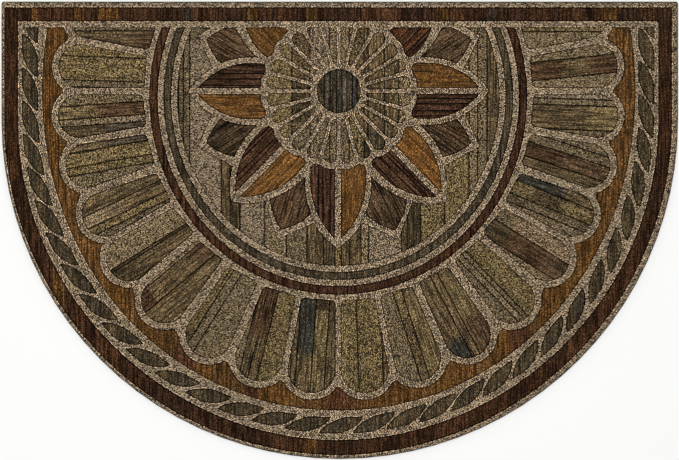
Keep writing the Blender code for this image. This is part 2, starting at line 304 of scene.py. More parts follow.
def ringLine(radius):
    # from above the picture's top on the left, round below, to the right
    depth = radius * rings["stretch"]
    rise = math.degrees(math.asin((mat["overTop"] - rings["centre"][1]) / depth))
    return halfRound(rings["centre"], (radius, depth, 2), 180 - rise, 360 + rise, rings["steps"])


def ringPad(radii):
    return below(np.concatenate([ringLine(radii[0]), ringLine(radii[1])[::-1]]))


def ringDistance(radius, centre, angle):
    # way from the centre to the ring along the angle: the larger root of a quadratic
    c, s = math.cos(math.radians(angle)), math.sin(math.radians(angle)) / rings["stretch"]
    x, y = rings["centre"][0] - centre[0], (rings["centre"][1] - centre[1]) / rings["stretch"]
    a, b, d = c * c + s * s, x * c + y * s, x * x + y * y - radius * radius
    return (b + math.sqrt(b * b - a * d)) / a


rosette = {
    "centre": (-0.0013, 0.1776),
    "disc": 0.0278,
    "discSteps": 64,
    "daisyCount": 24,
    "daisyInner": 0.0367,
    "daisyOuter": 0.0923,
    "daisyChannel": 0.0045,
    "daisySteps": 12,
    # half of a star petal, as (outward, sideways): along its rib, to the tip, and back to the daisy
    "rib": 0.0079,  # channel between its two halves
    "innerEnd": 0.0998,
    "shoulder": (0.1100, 0.0356),
    "scallops": ((0.0985, 0.0352), (0.0945, 0.0335), (0.0930, 0.0290),
                 (0.0938, 0.0240), (0.0975, 0.0190), (0.0992, 0.0125)),
    "bulge": 0.0090,
    "sideSteps": 14,
    "edge": 0.0120,  # from the petal's tip to the point of the field's line
    "cutRib": -0.0085,  # the two petals that the top line cuts reach past their middle by this much
    "reach": {"side": 0.1917, "diagonal": 0.1965, "bottom": 0.2004},  # the points of the field's line
    "petals": ((180, "side"), (225, "diagonal"), (270, "bottom"), (315, "diagonal"), (360, "side")),
    "turns": {225: 0.7, 270: -0.35, 315: -1.0, 360: 0.2},  # off even spacing, in degrees
    "pointBulge": 0.0028,
    "pointSteps": 4,
    # how far out the field's line turns back before and after each petal; 0 is past the picture's top
    "valleys": {135: (0, 0.1690), 180: (0.1633, 0.1637), 225: (0.1658, 0.1685), 270: (0.1712, 0.1700),
                315: (0.1697, 0.1650), 360: (0.1635, 0.1630), 405: (0.1680, 0)},
    "valleyTurn": 10.4,  # degrees from a petal's middle to those places
}
kites = {
    # corners as (outward, sideways), with sideways counted towards the mat's left-to-right line
    "side": {
        "inner": (0.1125, 0),
        "near": (0.1528, 0.0248),
        "far": (0.1548, -0.0268),
        "tip": (0.1815, 0.0034),
        "hollow": -0.0028,  # of both inner sides
        "bulges": (0.0029, 0.0021),  # of the outer sides, far and near
        "reach": (0.1930, 0.0035),  # the point of the field's line beyond the tip
    },
    "bottom": {
        "inner": (0.1165, -0.0026),
        "near": (0.1609, 0.0290),
        "far": (0.1575, -0.0276),
        "tip": (0.1915, 0.0006),
        "hollow": -0.0034,
        "bulges": (0.0034, 0.0024),
        "reach": (0.2040, -0.0003),
    },
    "places": ((157.5, "side"), (202.5, "side"), (247.5, "bottom"), (292.5, "bottom"), (337.5, "side"),
               (382.5, "side")),
    "turns": {292.5: -0.5},
    "steps": 8,
}


def placed(angle, turns, pairs):
    # pairs about the rosette's centre, turned to the angle and by the piece's own turn
    return turned(rosette["centre"], angle + turns.get(angle, 0), pairs)


def starHalf(angle, kind, side, rib):
    # out along the rib to the tip, back round the shoulder, and along two of the daisy's scallops
    tip = (rosette["reach"][kind] - rosette["edge"], rib)
    back = arc(tip, rosette["shoulder"], rosette["bulge"], rosette["sideSteps"])
    shape = np.concatenate([[(rosette["innerEnd"], rib)], back, rosette["scallops"]])
    shape[:, 1] *= side
    return below(placed(angle, rosette["turns"], shape))


def kiteSide(angle):
    # 1 where sideways already counts towards the mat's left-to-right line, -1 where it has to turn
    return -math.copysign(1, math.sin(math.radians(2 * angle)))


def kitePad(angle, kind):
    # hollow sides inside, bulged sides outside
    kite = kites[kind]
    corners = [kite[name] for name in ("inner", "far", "tip", "near", "inner")]
    bulges = (kite["hollow"], *kite["bulges"], kite["hollow"])
    shape = np.concatenate([arc(start, end, bulge, kites["steps"])[:-1]
                            for start, end, bulge in zip(corners, corners[1:], bulges)])
    return below(placed(angle, kites["turns"], shape * (1, kiteSide(angle))))


def daisyPetal(angle):
    # narrow inner end, straight sides, and a half circle outside
    half = math.sin(math.pi / rosette["daisyCount"])
    radius = (rosette["daisyOuter"] * half - rosette["daisyChannel"] / 2) / (1 + half)
    middle = rosette["daisyOuter"] - radius
    inner = rosette["daisyInner"]
    side = inner * half - rosette["daisyChannel"] / 2
    most = math.pi / 2 - math.pi / rosette["daisyCount"]
    t = np.linspace(-most, most, rosette["daisySteps"] + 1)
    end = circle(middle, radius, t)
    shape = np.concatenate([[(inner - side / 2, 0), (inner, -side)], end, [(inner, side)]])
    return below(turned(rosette["centre"], angle, shape))


def starField():
    # the ring's inside, cut out along the line round the star's points and kites
    def valleys(axis):
        own = axis + rosette["turns"].get(axis, 0)
        return [turned(rosette["centre"], own + side * rosette["valleyTurn"], [(reach, 0)])
                for side, reach in zip((-1, 1), rosette["valleys"][axis])]

    kiteTips = [placed(angle, kites["turns"], [kites[kind]["reach"]] * np.array([1, kiteSide(angle)]))
                for angle, kind in kites["places"]]
    line = [valleys(135)[1], kiteTips[0]]
    for (axis, kind), nextKite in zip(rosette["petals"], kiteTips[1:]):
        tip = placed(axis, rosette["turns"], [(rosette["reach"][kind], 0)])[0]
        before, after = np.concatenate(valleys(axis))
        line.append(arc(before, tip, rosette["pointBulge"], rosette["pointSteps"])[:-1])
        line.append(arc(tip, after, rosette["pointBulge"], rosette["pointSteps"]))
        line.append(nextKite)
    line.append(valleys(405)[0])
    return below(np.concatenate([ringLine(rings["field"]), np.concatenate(line)[::-1]]))


def centreDisc():
    t = np.linspace(0, 2 * math.pi, rosette["discSteps"] + 1)[:-1]
    return turned(rosette["centre"], 0, circle(0, rosette["disc"], t))


# Tones of the printed wood, in families of one hue: its red and its blue as shares of its green, and
# each tone's green as a screen code. They are fitted averages: scripts scaled each tone until the mean
# colour of its planks came near the photograph's, and the codes were then rounded into these families
toneFamilies = {
    (1.19, 0.77): {"pinkTan": 105},
    (1.16, 0.75): {"tan": 100, "greyTan": 97, "duskTan": 92, "taupe": 89, "slateOlive": 81, "paleGreen": 70,
                   "discGreen": 69, "greenGrey": 63, "teal": 60, "ropeGreen": 57},
    (1.15, 0.80): {"paleTan": 105, "slate": 65, "discGrey": 62, "darkGreen": 61},
    (1.11, 0.82): {"paleDisc": 84},
    (1.06, 0.85): {"navy": 54},
    (1.23, 0.82): {"nightMahogany": 39},
    (1.17, 0.68): {"yellowOlive": 96, "olive": 90},
    (1.20, 0.70): {"drab": 82, "dimDrab": 74, "paleRope": 66, "darkDrab": 64, "deepDrab": 62, "darkRope": 59,
                   "charcoal": 58},
    (1.28, 0.71): {"rust": 68, "paleKite": 64, "kiteBrown": 58, "darkKite": 52},
    (1.33, 0.69): {"redRust": 61, "umber": 57, "plumBrown": 51},
    (1.43, 0.71): {"midMaroon": 52, "rustMaroon": 51, "maroon": 49, "plum": 47},
    (1.50, 0.69): {"redBrown": 42, "darkRedBrown": 39, "wineMahogany": 35},
    (1.54, 0.64): {"redMaroon": 52, "archPlum": 49, "rustMahogany": 44, "mahogany": 37, "darkMahogany": 34},
    (1.45, 0.50): {"brightAmber": 82, "honey": 70, "goldOchre": 68, "dullAmber": 66, "ochre": 62,
                   "goldMahogany": 57},
    (1.43, 0.54): {"amber": 72, "paleOchre": 66, "dullHoney": 64, "burntOchre": 58},
}
tones = {name: (red * green, green, blue * green)
         for (red, blue), family in toneFamilies.items() for name, green in family.items()}

# How strongly the printed grain, the tufts with their painted light and shade, and the painted shade on a
# pad's rounded edge show in each tone; the last three figures hold for the tones that no list names
grains = {
    (0.07, 1.0, 0.7): ("tan", "paleTan", "greyTan", "pinkTan", "duskTan"),
    (0.24, 1.0, 0.65): ("olive", "yellowOlive", "taupe", "slateOlive"),
    (0.42, 0.65, 0.9): ("brightAmber", "amber", "honey", "dullAmber", "dullHoney"),
    (0.68, 0.7, 0.95): ("kiteBrown", "paleKite", "darkKite", "umber"),
    (0.50, 0.7, 0.8): ("ochre", "goldOchre", "paleOchre", "burntOchre", "archPlum"),
    (0.56, 0.7, 1.0): ("mahogany", "darkMahogany", "rustMahogany", "goldMahogany", "wineMahogany",
                       "nightMahogany", "redBrown", "darkRedBrown"),
    (0.50, 0.75, 0.95): (),
}


def grainOf(name):
    fitting = [figures for figures, names in grains.items() if name in names]
    return fitting[0] if fitting else list(grains)[-1]


def linear(code):
    # from screen codes, 0 to 255, to linear light
    share = np.asarray(code) / 255
    return np.where(share <= 0.04045, share / 12.92, ((share + 0.055) / 1.055) ** 2.4)


beyond = 1000  # mm, past the mat on every side


def planks(grain, middle, edges, names, lined=True):
    # planks that run at the grain's angle through the middle; edges in mm across, one name more
    # than edges. A name may be (tones, places, softness): up to three tones, which change at two
    # places in mm along, over so many mm. Lined planks have a dark line between them
    low, high, colours, places, softness, depth = [], [], [], [], [], []
    ends = [-beyond, *edges, beyond]
    for i, name in enumerate(names):
        parts, at, soft = (name, (), 1) if isinstance(name, str) else name
        parts = [parts] if isinstance(parts, str) else list(parts)
        parts += [parts[-1]] * (3 - len(parts))
        at = list(at) + [2 * beyond] * (2 - len(at))
        low.append(ends[i] / 1000)
        high.append(ends[i + 1] / 1000)
        colours.append([linear(tones[part]) for part in parts])
        places.append([at[0] / 1000, at[1] / 1000])
        softness.append(soft / 1000)
        depth.append(grainOf(parts[0]))
    return {"grain": grain, "middle": middle, "low": np.array(low), "high": np.array(high),
            "colours": np.array(colours), "places": np.array(places), "softness": np.array(softness),
            "depth": np.array(depth), "clear": 0 if lined else 1}


def mixedPlanks(seed, grain, middle, widths, names, reach=450):
    # planks of uneven width, their tones drawn from a list
    chance = np.random.default_rng(seed)
    edges = np.cumsum(chance.uniform(widths[0], widths[1], int(2 * reach / widths[0]))) - reach
    edges = edges[edges < reach]
    return planks(grain, middle, edges.tolist(), list(chance.choice(names, len(edges) + 1)), False)


# The planks below follow the photograph's, chosen by the mean colour of each plank there

# Planks of each fan petal: their grain's angle, their edges in mm from the petal's middle, their tones
fanPlanks = [
    (180, [-13], [(("rust", "dimDrab"), (-42,), 8), "taupe"]),
    (178, [-25.5, -17, 13.5], ["taupe", "duskTan", "yellowOlive", "yellowOlive"]),
    (184, [-12.5, -3.5, 13.5], [(("slate", "dimDrab"), (-8,), 14), (("paleTan", "greyTan"), (-15,), 12),
                                (("redRust", "olive"), (0,), 20), "duskTan"]),
    (190, [-11, -0.5, 17.5], ["taupe", "olive", "yellowOlive", (("slate", "drab"), (-2,), 14)]),
    (206, [-17.5, -7.5, 9], ["slateOlive", "yellowOlive", (("drab", "tan"), (0,), 10), "drab"]),
    (212, [-4, -0.5], [(("drab", "deepDrab"), (14,), 12), "deepDrab", "tan"]),
    (220, [-1.5, 22], ["drab", (("rust", "drab", "plum"), (-28, 44), 1), "tan"]),
    (238, [1.5, 13], ["duskTan", (("duskTan", "slateOlive"), (42,), 12),
                      (("olive", "deepDrab"), (45,), 14)]),
    (256, [-4, 20], ["olive", (("umber", "dimDrab"), (22,), 1), "duskTan"]),
    (266, [-17, 0, 20], [(("darkDrab", "dimDrab"), (0,), 20), (("charcoal", "olive"), (-29,), 3),
                         (("navy", "drab"), (28,), 14), "dimDrab"]),
    (272, [-25, 6], ["drab", "olive", "olive"]),
    (288, [-4.5, 7], [(("drab", "olive"), (-12,), 16), (("olive", "dimDrab"), (-8,), 10),
                      (("duskTan", "taupe"), (-6,), 12)]),
    (298, [-2, 8], [(("drab", "olive", "rust"), (-22, 20), 12), "drab",
                    (("drab", "dimDrab", "navy"), (0, 42), 14)]),
    (314, [0, 6, 14], ["olive", "duskTan", "tan", "taupe"]),
    (328, [-7.5, 18], [(("taupe", "pinkTan"), (-24,), 8), (("deepDrab", "umber", "rust"), (-26, 30), 2),
                       "tan"]),
    (338, [-13.5, 5, 16], [(("navy", "dimDrab"), (9,), 8), (("olive", "deepDrab", "olive"), (-28, 14), 14),
                           "slateOlive", "duskTan"]),
    (342, [-20, -8, 11], ["duskTan", "taupe", (("plumBrown", "rust"), (-8,), 24), "dimDrab"]),
    (358, [-20, -12, 19], ["paleTan", "greyTan", (("drab", "dimDrab", "yellowOlive"), (-38, 12), 14),
                           "taupe"]),
    (366, [-12.5, 11], ["tan", (("redRust", "drab", "redRust"), (-22, 12), 16), "tan"]),
    (360, [14], ["yellowOlive", "greyTan"]),
]
fieldPlanks = planks(
    90, (0, 0),
    [-205.5, -199.5, -191.5, -151, -140, -127, -96, -68, -42, -21, -6,
     2, 12, 27, 37, 79, 86, 103, 134, 165, 176, 188],
    ["slateOlive", "slateOlive", "taupe", (("paleTan", "slateOlive"), (242,), 6), "dimDrab", "deepDrab",
     "paleTan", "tan", "duskTan", "drab", "deepDrab", "yellowOlive", "drab", "drab", "tan", "paleTan",
     "drab", "charcoal", "olive", "yellowOlive", "greyTan", "duskTan", "dimDrab"])
daisyPlanks = planks(
    90, (0, 0), [-61, -38, -13, 12, 31, 36, 57, 75],
    ["yellowOlive", (("taupe", "charcoal", "dimDrab"), (138, 189), 1), (("taupe", "paleTan"), (180,), 10),
     (("duskTan", "tan"), (180,), 10), (("olive", "drab"), (150,), 10), (("teal", "drab"), (126,), 4),
     (("teal", "drab"), (128,), 8), (("drab", "olive", "drab"), (150, 200), 8), "tan"])
discPlanks = planks(
    90, (0, 0), [-20, -12, -4, 3, 9, 16, 22],
    ["discGreen", "discGrey", "slate", "slate", "paleDisc", "discGrey", "navy", "discGreen"])
# Planks of the border: where each ends in mm, its tone in the round part and in the straight bar
borderPlanks = [
    (-414, "mahogany", "darkMahogany"), (-393, "darkMahogany", "darkMahogany"),
    (-385, "mahogany", "goldMahogany"), (-366, "mahogany", "mahogany"),
    (-350, "goldMahogany", "rustMahogany"), (-338, "mahogany", "mahogany"),
    (-326, "rustMahogany", "goldMahogany"), (-310, "darkMahogany", "wineMahogany"),
    (-282, "rustMahogany", "goldMahogany"), (-240, "darkMahogany", "mahogany"),
    (-200, "wineMahogany", "mahogany"), (-188, "wineMahogany", "nightMahogany"),
    (-155, "mahogany", "rustMahogany"), (-118, "darkMahogany", "wineMahogany"),
    (-106, "darkMahogany", "goldMahogany"), (-90, "darkMahogany", "mahogany"),
    (-62, "rustMahogany", "rustMahogany"), (-42, "rustMahogany", "mahogany"),
    (-30, "goldMahogany", "goldMahogany"), (-10, "mahogany", "mahogany"),
    (28, "darkMahogany", "wineMahogany"), (78, "mahogany", "rustMahogany"),
    (118, "mahogany", "wineMahogany"), (128, "mahogany", "rustMahogany"),
    (138, "rustMahogany", "goldMahogany"), (166, "rustMahogany", "rustMahogany"),
    (190, "mahogany", "darkMahogany"), (200, "darkMahogany", "nightMahogany"),
    (216, "mahogany", "darkMahogany"), (240, "darkMahogany", "wineMahogany"),
    (290, "mahogany", "mahogany"), (314, "rustMahogany", "rustMahogany"),
    (334, "mahogany", "darkMahogany"), (354, "rustMahogany", "goldMahogany"),
    (385, "mahogany", "wineMahogany"), (404, "darkMahogany", "rustMahogany"),
    (450, "mahogany", "wineMahogany"),
]
# Tones of each half petal of the star, by its angle and side
starTones = {
    (135, 1): ("dullAmber", "dullHoney"), (180, -1): ("maroon", "plum"), (180, 1): ("amber", "honey"),
    (225, -1): ("rustMaroon", "midMaroon"), (225, 1): ("brightAmber", "amber"),
    (270, -1): ("midMaroon", "maroon"), (270, 1): ("amber", "honey"), (315, -1): ("midMaroon", "maroon"),
    (315, 1): ("brightAmber", "honey"), (360, -1): ("maroon", "plum"),
    (360, 1): ("dullAmber", "dullHoney"), (45, -1): ("redMaroon", "rustMaroon"),
}
starWood = {"widths": (4, 11), "edges": 8}


def starPlanks(angle, side):
    # planks along the petal, of two tones in turn
    names = starTones[angle, side]
    chance = np.random.default_rng(angle * 2 + side)
    edges = np.cumsum(chance.uniform(*starWood["widths"], starWood["edges"]))
    edges = sorted((-side * edges).tolist())
    return planks(angle, rosette["centre"], edges, [names[i % 2] for i in range(len(edges) + 1)], side < 0)


# Meshes

weld = 0.000002  # points nearer than this become one
onEdge = 0.000005  # points nearer than this to a plank's edge lie on it
shoulder = [  # inset and height of the profile carried round each pad, from its foot to its top
    (-0.0013, groundHeight - 0.0003),
    (-0.0013, groundHeight + 0.00002),
    (-0.0006, groundHeight + 0.00005),
    (-0.0001, groundHeight + 0.00022),
    (0.0001, groundHeight + 0.00060),
    (0.0004, groundHeight + 0.00095),
    (0.0010, groundHeight + 0.00112),
    (0.0019, groundHeight + 0.00120),
]


def carried(outline, profile, sign=1):
    # the profile carried round the outline: one loop of points for each of its (inset, height) pairs
    loops = [np.column_stack([inset(outline, sign * d), np.full(len(outline), z)]) for d, z in profile]
    return np.concatenate(loops)


def walls(loops, count, first, flip):
    # quads between neighbouring loops; flip turns them for a hole's wall
    low = first + np.arange(loops - 1)[:, None] * count + np.arange(count)[None, :]
    ahead = first + np.arange(loops - 1)[:, None] * count + (np.arange(count)[None, :] + 1) % count
    quads = np.stack([low, ahead, ahead + count, low + count], axis=-1).reshape(-1, 4)
    return quads[:, ::-1].tolist() if flip else quads.tolist()


def closedPad(outline, profile):
    # walls, a flat cap and a flat bottom
    outline = leftTurning(outline)
    count, loops = len(outline), len(profile)
    top = list(range((loops - 1) * count, loops * count))
    return carried(outline, profile), walls(loops, count, 0, False) + [top, list(range(count))[::-1]]


def closedBand(outer, inner, profile):
    # two walls, with a strip of quads between their last loops and another between their first
    count, loops = len(outer), len(profile)
    points = np.concatenate([carried(outer, profile), carried(inner, profile, -1)])
    a = np.arange(count)
    b = (a + 1) % count
    top, other = (loops - 1) * count, loops * count
    strip = np.column_stack([a + top, b + top, b + top + other, a + top + other]).tolist()
    under = np.column_stack([a, a + other, b + other, b]).tolist()
    faces = walls(loops, count, 0, False) + walls(loops, count, other, True) + strip + under
    return points, faces


def tidied(outline, shortest=0.0003):
    # points nearer than the shortest side to the one before are left out
    step = np.hypot(*(outline - np.roll(outline, 1, axis=0)).T)
    return outline[step > shortest]


def sawn(points, faces, wood):
    # the pad split along its planks' edges, and each corner's place along the grain and plank
    mesh = bpy.data.meshes.new("sawn")
    mesh.from_pydata(points.tolist(), [], faces)
    pad = bmesh.new()
    pad.from_mesh(mesh)
    bmesh.ops.remove_doubles(pad, verts=pad.verts, dist=weld)
    c, s = math.cos(math.radians(wood["grain"])), math.sin(math.radians(wood["grain"]))
    x, y = wood["middle"]
    across = (points[:, 0] - x) * s - (points[:, 1] - y) * c
    for edge in wood["high"][:-1]:
        if across.min() < edge < across.max():
            bmesh.ops.bisect_plane(pad, geom=pad.verts[:] + pad.edges[:] + pad.faces[:], dist=onEdge,
                                   plane_co=(x + edge * s, y - edge * c, 0), plane_no=(s, -c, 0))
    pad.to_mesh(mesh)
    pad.free()
    co = np.empty(len(mesh.vertices) * 3, np.float32)
    corner = np.empty(len(mesh.loops), np.int32)
    total = np.empty(len(mesh.polygons), np.int32)
    centre = np.empty(len(mesh.polygons) * 3, np.float32)
    normal = np.empty(len(mesh.polygons) * 3, np.float32)
    mesh.vertices.foreach_get("co", co)
    mesh.loops.foreach_get("vertex_index", corner)
    mesh.polygons.foreach_get("loop_total", total)
    mesh.polygons.foreach_get("center", centre)
    mesh.polygons.foreach_get("normal", normal)
    bpy.data.meshes.remove(mesh)
    co, centre, normal = co.reshape(-1, 3), centre.reshape(-1, 3), normal.reshape(-1, 3)
    which = np.searchsorted(wood["high"][:-1], (centre[:, 0] - x) * s - (centre[:, 1] - y) * c)
    which = np.repeat(which, total)
    right, up = (co[corner][:, :2] - (x, y)).T
    seed = (which * 0.37 + wood["grain"] * 0.11 + x * 31 + y * 17) % 1  # shifts the grain plank by plank
    low, high = wood["low"][which] - wood["clear"], wood["high"][which] + wood["clear"]
    colours, depth = wood["colours"][which], wood["depth"][which]
    return {
        "co": co, "corner": corner, "total": total, "smooth": np.abs(normal[:, 2]) < 0.9999,
        "grain": np.column_stack([right * s - up * c, right * c + up * s]),
        "plank": np.column_stack([low, high, seed]),
        "joint": np.column_stack([wood["places"][which], wood["softness"][which]]),
        "toneA": colours[:, 0], "toneB": colours[:, 1], "toneC": colours[:, 2],
        # line: how strongly the painted shade on the pad's rounded edge shows
        "depth": depth[:, 0], "speck": depth[:, 1], "line": depth[:, 2],
    }


def madePiece(name, parts, material):
    # the parts joined into one mesh, with their corners' values as its attributes
    mesh = bpy.data.meshes.new(name)
    firsts = np.cumsum([0] + [len(part["co"]) for part in parts[:-1]])
    co = np.concatenate([part["co"] for part in parts])
    corner = np.concatenate([part["corner"] + first for part, first in zip(parts, firsts)])
    total = np.concatenate([part["total"] for part in parts])
    mesh.vertices.add(len(co))
    mesh.vertices.foreach_set("co", co.ravel())
    mesh.loops.add(len(corner))
    mesh.loops.foreach_set("vertex_index", corner)
    mesh.polygons.add(len(total))
    mesh.polygons.foreach_set("loop_start", np.concatenate([[0], np.cumsum(total)[:-1]]))
    mesh.update(calc_edges=True)
    mesh.polygons.foreach_set("use_smooth", np.concatenate([part["smooth"] for part in parts]))

    def joined(key):
        return np.concatenate([part[key] for part in parts]).astype(np.float32)

    mesh.uv_layers.new(name="grain").data.foreach_set("uv", joined("grain").ravel())
    for key in ("plank", "joint"):
        layer = mesh.attributes.new(key, "FLOAT_VECTOR", "CORNER")
        layer.data.foreach_set("vector", joined(key).ravel())
    for key in ("depth", "speck", "line"):
        mesh.attributes.new(key, "FLOAT", "CORNER").data.foreach_set("value", joined(key))
    for key in ("toneA", "toneB", "toneC"):
        values = np.column_stack([joined(key), np.ones(len(corner), np.float32)])
        mesh.attributes.new(key, "FLOAT_COLOR", "CORNER").data.foreach_set("color", values.ravel())
    mesh.validate()
    mesh.materials.append(material)
    piece = bpy.data.objects.new(name, mesh)
    bpy.context.scene.collection.objects.link(piece)
    return piece


# Materials

class Wire:
    # a shader socket that can be used in sums like a number
    def __init__(self, shade, socket):
        self.shade = shade
        self.socket = socket

    def sum(self, operation, first, second):
        return self.shade.node("ShaderNodeMath", {"operation": operation}, [first, second])

    def __add__(self, other):
        return self.sum("ADD", self, other)

    def __sub__(self, other):
        return self.sum("SUBTRACT", self, other)

    def __rsub__(self, other):
        return self.sum("SUBTRACT", other, self)

    def __mul__(self, other):
        return self.sum("MULTIPLY", self, other)

    def __truediv__(self, other):
        return self.sum("DIVIDE", self, other)

    def __rtruediv__(self, other):
        return self.sum("DIVIDE", other, self)

    def __pow__(self, other):
        return self.sum("POWER", self, other)

    __radd__ = __add__
    __rmul__ = __mul__


class Shade:
    # a material and the nodes that make it
    def __init__(self, name):
        self.material = bpy.data.materials.new(name)
        self.material.use_nodes = True
        self.tree = self.material.node_tree
        self.surface = self.tree.nodes["Principled BSDF"]

    def node(self, kind, settings, sockets, out=0):
        made = self.tree.nodes.new(kind)
        for key, value in settings.items():
            setattr(made, key, value)
        self.feed(made, sockets)
        return Wire(self, made.outputs[out])

    def feed(self, made, sockets):
        pairs = sockets.items() if isinstance(sockets, dict) else enumerate(sockets)
        for key, value in pairs:
            if isinstance(value, Wire):
                self.tree.links.new(value.socket, made.inputs[key])
            else:
                made.inputs[key].default_value = value

    def vector(self, x, y, z):
        return self.node("ShaderNodeCombineXYZ", {}, [x, y, z])

    def parts(self, vector):
        made = self.node("ShaderNodeSeparateXYZ", {}, [vector])
        return [Wire(self, out) for out in made.socket.node.outputs]

    def noise(self, vector, scale, detail=2.0, roughness=0.5):
        return self.node("ShaderNodeTexNoise", {}, {"Vector": vector, "Scale": scale, "Detail": detail,
                                                    "Roughness": roughness})

    def cells(self, vector, scale, out, uneven=1.0):
        # cells seen from above: on the mat's sides they run down as standing fibres
        return self.node("ShaderNodeTexVoronoi", {"voronoi_dimensions": "2D"},
                         {"Vector": vector, "Scale": scale, "Randomness": uneven}, out)

    def smooth(self, value, low, high):
        return self.node("ShaderNodeMapRange", {"interpolation_type": "SMOOTHSTEP"},
                         [value, low, high, 0.0, 1.0])

    def lower(self, first, second):
        return self.node("ShaderNodeMath", {"operation": "MINIMUM"}, [first, second])

    def mix(self, factor, first, second):
        return self.node("ShaderNodeMix", {"data_type": "RGBA"}, {0: factor, 6: first, 7: second}, 2)

    def scaled(self, colour, factor):
        return self.node("ShaderNodeVectorMath", {"operation": "SCALE"}, {0: colour, 3: factor})

    def place(self):
        return self.node("ShaderNodeTexCoord", {}, {}, "Object")

    def attribute(self, name, out):
        return self.node("ShaderNodeAttribute", {"attribute_name": name}, {}, out)


def rgba(code):
    # a screen colour code as linear light
    return (*linear([int(code[i:i + 2], 16) for i in (0, 2, 4)]).tolist(), 1.0)


fibre = {
    "tuft": 0.00128,  # pitch of the tufts, and of the fibres in them
    "strand": 0.00075,
    "uneven": 0.7,  # how far the tufts stray from even rows
    "fall": (0.1, 0.6),  # a tuft falls away between these distances from its middle, in pitches
    "sharp": 2,  # how narrow the painted light on the tufts' middles is
    "gain": 3.3,  # brightness of the painted light on the middles, and the share of it that the painted shade between tufts keeps
    "gapShadeShare": 0.03,
    "ownPower": 1.5,  # how few tufts are bright
    "ownLow": 0.12,  # brightness of the darkest tuft, and how much brighter the brightest is
    "ownReach": 2.2,
    "strandSplit": (0.28, 0.72),  # where dark fibres end and light ones begin, by chance from 0 to 1
    "strandDepth": 0.3,
    "moundShare": 0.7,  # the tufts' share of the height; the fibres have the rest
    "ground": "7c6c57",
    "groundLight": "8a7861",
    "groundPatch": 0.02,
    "edgeShadeDepth": 0.20,  # painted shade: the ground darkens where it rounds down towards the mat's edge
    "roughness": 0.95,
    "bump": 0.5,
    "bumpHeight": 0.0004,
}
printing = {
    "ink": 0.98,  # brightness of the print
    "wander": 0.012,  # size of the waves where two tones meet along a plank, and how far they reach
    "wanderReach": 1.6,
    "streak": 0.0018,  # width of a streak of the printed grain, and how far it runs
    "streakRun": 0.032,
    "streakSplit": (0.40, 0.60),  # where dark streaks end and pale ones begin
    "crack": 0.0016,  # width of the longer dark lines, and how far they run
    "crackRun": 0.13,
    "crackSplit": (0.63, 0.72),  # where they begin and are fully dark
    "crackDepth": 1.5,
    "patch": 0.009,  # width of paler and darker patches, and how far they run
    "patchRun": 0.045,
    "patchDepth": 1.4,
    "gap": 0.00085,  # half width of the dark line between planks
    "gapDepth": 0.94,
    "rimShadeLow": 0.00108,  # heights over the ground between which the painted shade on a pad's rounded edge gives way to print
    "rimShadeHigh": 0.00118,
    "rimShadeDepth": 0.88,
    "footHighlight": 1.4,  # painted highlight: brightness of the tan round a pad's foot
    "wallLow": 0.00006,  # heights between which the tan ground turns into print
    "wallHigh": 0.00020,
}


def tufts(shade):
    # round tufts with painted light in the middle and painted shade between them, of fibres that are dark or
    # light by chance
    place = shade.place()
    mound = shade.cells(place, 1 / fibre["tuft"], "Distance", fibre["uneven"])
    mound = 1 - shade.smooth(mound, *fibre["fall"])
    strand = shade.parts(shade.cells(place, 1 / fibre["strand"], "Color"))[0]
    strand = shade.smooth(strand, *fibre["strandSplit"])
    strandShade = 1 + (strand * 2 - 1) * fibre["strandDepth"]
    own = shade.parts(shade.cells(place, 1 / fibre["tuft"], "Color", fibre["uneven"]))[0]
    own = own ** fibre["ownPower"] * fibre["ownReach"] + fibre["ownLow"]
    # painted light on each tuft's middle and painted shade in the gaps, times the tufts' and fibres' own
    # random tones
    tuftShadeAndTone = (mound ** fibre["sharp"] + fibre["gapShadeShare"]) * own * strandShade * fibre["gain"]
    return place, tuftShadeAndTone, mound * fibre["moundShare"] + strand * (1 - fibre["moundShare"])


def finished(shade, colour, roughness, height, strength, distance):
    bump = shade.node("ShaderNodeBump", {}, {"Strength": strength, "Distance": distance, "Height": height})
    shade.feed(shade.surface, {"Base Color": colour, "Roughness": roughness, "Normal": bump,
                               "Specular IOR Level": 0.05, "Metallic": 0.0})
    return shade.material


def tanFibre():
    # the ground and channels: light and dark tufts of undyed fibre, with painted shade where the ground
    # rounds down to the mat's edge
    shade = Shade("tanFibre")
    place, tuftShadeAndTone, height = tufts(shade)
    patch = shade.smooth(shade.noise(place, 1 / fibre["groundPatch"]), 0.35, 0.65)
    base = shade.mix(patch, rgba(fibre["ground"]), rgba(fibre["groundLight"]))
    # painted shade on the rounded edge, by height
    edge = shade.smooth(shade.parts(place)[2], groundHeight - groundFall, groundHeight)
    edge = 1 - (1 - edge) * fibre["edgeShadeDepth"]
    colour = shade.scaled(base, tuftShadeAndTone * edge)
    return finished(shade, colour, fibre["roughness"], height, fibre["bump"], fibre["bumpHeight"])


